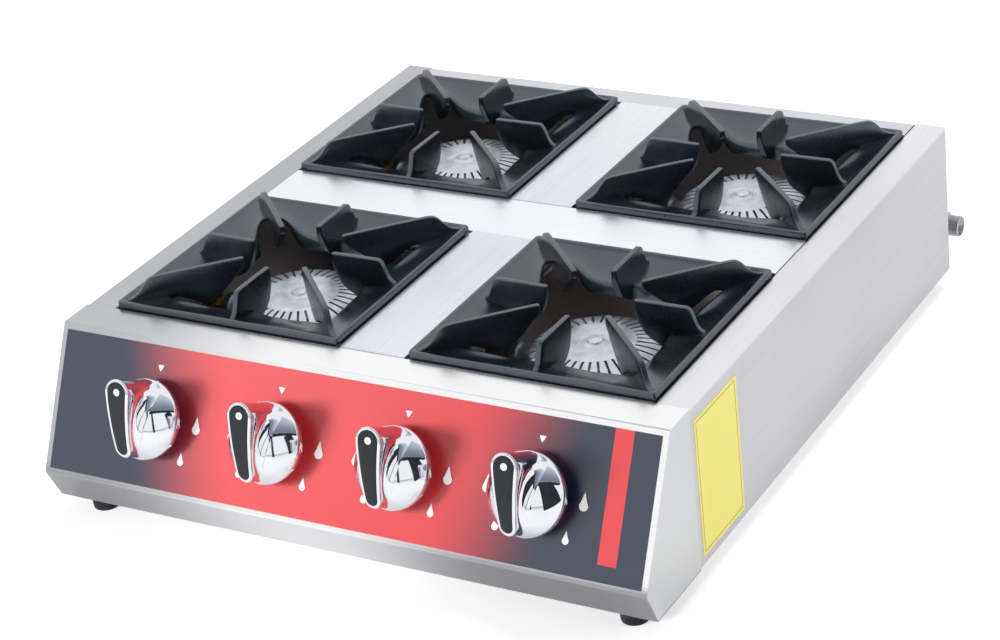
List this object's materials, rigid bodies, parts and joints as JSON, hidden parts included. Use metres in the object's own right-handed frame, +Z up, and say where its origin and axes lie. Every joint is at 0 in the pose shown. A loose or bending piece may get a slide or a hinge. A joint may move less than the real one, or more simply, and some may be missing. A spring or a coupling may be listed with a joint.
{
  "type": "countertop gas stove",
  "caption": "Low stainless countertop gas stove with burners in a square under cast grates, a sloping control front with turning knobs, and a gas inlet at the rear.",
  "frame": {"origin": "centre of the overall box in plan, at the level of the worktop that the feet stand on", "axes": "+Z up, +Y from the control front to the rear, +X to the right as seen from the front"},
  "size_m": [0.6002, 0.737, 0.192],
  "materials": {
    "satin_steel": "satin stainless sheet",
    "bright_steel": "bright stainless sheet",
    "printed_plate": "satin print, red fading to graphite at both ends, with plain control marks",
    "yellow_plate": "blank yellow film",
    "rubber": "moulded black rubber",
    "zinc_steel": "zinc plated",
    "brass": "machined",
    "pipe_aluminium": "drawn tube",
    "cap_aluminium": "blasted bright casting",
    "cast_iron": "heat-proof black",
    "enamelled_iron": "black enamel",
    "chrome": "polished chrome on die-cast zinc",
    "black_inlay": "gloss black strip with a white pointer dot"
  },
  "bodies": {
    "body": {"base_tray": "satin_steel", "left_side_panel": "satin_steel", "right_side_panel": "satin_steel", "rear_panel": "satin_steel", "control_housing": "satin_steel", "left_end_cheek": "satin_steel", "right_end_cheek": "satin_steel", "control_label": "printed_plate", "side_label": "yellow_plate", "transverse_plate": "bright_steel", "front_spacer_plate": "bright_steel", "rear_spacer_plate": "bright_steel", "front_burner_rail": "satin_steel", "rear_burner_rail": "satin_steel", "rubber_feet": "rubber", "foot_screws": "zinc_steel", "gas_manifold": "zinc_steel", "manifold_clamps": "zinc_steel", "inlet_pipe": "zinc_steel", "inlet_elbow": "zinc_steel", "inlet_locknut": "zinc_steel", "injectors": "brass", "feed_pipe_front_left": "pipe_aluminium", "feed_pipe_rear_left": "pipe_aluminium", "feed_pipe_rear_right": "pipe_aluminium", "feed_pipe_front_right": "pipe_aluminium", "burner_body_front_left": "cast_iron", "burner_body_front_right": "cast_iron", "burner_body_rear_left": "cast_iron", "burner_body_rear_right": "cast_iron", "valve_body_1": "brass", "valve_body_2": "brass", "valve_body_3": "brass", "valve_body_4": "brass"},
    "tap_1": {"valve_plug_1": "brass"},
    "knob_1": {"knob_1": "chrome", "knob_inset_1": "black_inlay", "valve_stem_1": "brass"},
    "tap_2": {"valve_plug_2": "brass"},
    "knob_2": {"knob_2": "chrome", "knob_inset_2": "black_inlay", "valve_stem_2": "brass"},
    "tap_3": {"valve_plug_3": "brass"},
    "knob_3": {"knob_3": "chrome", "knob_inset_3": "black_inlay", "valve_stem_3": "brass"},
    "tap_4": {"valve_plug_4": "brass"},
    "knob_4": {"knob_4": "chrome", "knob_inset_4": "black_inlay", "valve_stem_4": "brass"},
    "grate_front_left": {"grate_front_left": "enamelled_iron"},
    "cap_front_left": {"burner_cap_front_left": "cap_aluminium"},
    "grate_front_right": {"grate_front_right": "enamelled_iron"},
    "cap_front_right": {"burner_cap_front_right": "cap_aluminium"},
    "grate_rear_left": {"grate_rear_left": "enamelled_iron"},
    "cap_rear_left": {"burner_cap_rear_left": "cap_aluminium"},
    "grate_rear_right": {"grate_rear_right": "enamelled_iron"},
    "cap_rear_right": {"burner_cap_rear_right": "cap_aluminium"}
  },
  "joints": [
    {"name": "knob_turn_1", "type": "hinge", "parent": "body", "child": "tap_1", "pos_m": [-0.19, -0.31859, 0.10681], "axis": [0, -0.8821, 0.471], "range_deg": [0, 133]},
    {"name": "knob_push_1", "type": "slide", "parent": "tap_1", "child": "knob_1", "axis": [0, 0.8821, -0.471], "range_m": [0, 0.0035], "stiffness_N_per_m": 800, "springref_m": -0.006},
    {"name": "knob_turn_2", "type": "hinge", "parent": "body", "child": "tap_2", "pos_m": [-0.0634, -0.31859, 0.10681], "axis": [0, -0.8821, 0.471], "range_deg": [0, 133]},
    {"name": "knob_push_2", "type": "slide", "parent": "tap_2", "child": "knob_2", "axis": [0, 0.8821, -0.471], "range_m": [0, 0.0035], "stiffness_N_per_m": 800, "springref_m": -0.006},
    {"name": "knob_turn_3", "type": "hinge", "parent": "body", "child": "tap_3", "pos_m": [0.0632, -0.31859, 0.10681], "axis": [0, -0.8821, 0.471], "range_deg": [0, 133]},
    {"name": "knob_push_3", "type": "slide", "parent": "tap_3", "child": "knob_3", "axis": [0, 0.8821, -0.471], "range_m": [0, 0.0035], "stiffness_N_per_m": 800, "springref_m": -0.006},
    {"name": "knob_turn_4", "type": "hinge", "parent": "body", "child": "tap_4", "pos_m": [0.1898, -0.31859, 0.10681], "axis": [0, -0.8821, 0.471], "range_deg": [0, 133]},
    {"name": "knob_push_4", "type": "slide", "parent": "tap_4", "child": "knob_4", "axis": [0, 0.8821, -0.471], "range_m": [0, 0.0035], "stiffness_N_per_m": 800, "springref_m": -0.006},
    {"name": "grate_lift_front_left", "type": "slide", "parent": "body", "child": "grate_front_left", "axis": [0, 0, 1], "range_m": [0, 0.08]},
    {"name": "cap_lift_front_left", "type": "slide", "parent": "body", "child": "cap_front_left", "axis": [0, 0, 1], "range_m": [0, 0.015]},
    {"name": "grate_lift_front_right", "type": "slide", "parent": "body", "child": "grate_front_right", "axis": [0, 0, 1], "range_m": [0, 0.08]},
    {"name": "cap_lift_front_right", "type": "slide", "parent": "body", "child": "cap_front_right", "axis": [0, 0, 1], "range_m": [0, 0.015]},
    {"name": "grate_lift_rear_left", "type": "slide", "parent": "body", "child": "grate_rear_left", "axis": [0, 0, 1], "range_m": [0, 0.08]},
    {"name": "cap_lift_rear_left", "type": "slide", "parent": "body", "child": "cap_rear_left", "axis": [0, 0, 1], "range_m": [0, 0.015]},
    {"name": "grate_lift_rear_right", "type": "slide", "parent": "body", "child": "grate_rear_right", "axis": [0, 0, 1], "range_m": [0, 0.08]},
    {"name": "cap_lift_rear_right", "type": "slide", "parent": "body", "child": "cap_rear_right", "axis": [0, 0, 1], "range_m": [0, 0.015]}
  ]
}
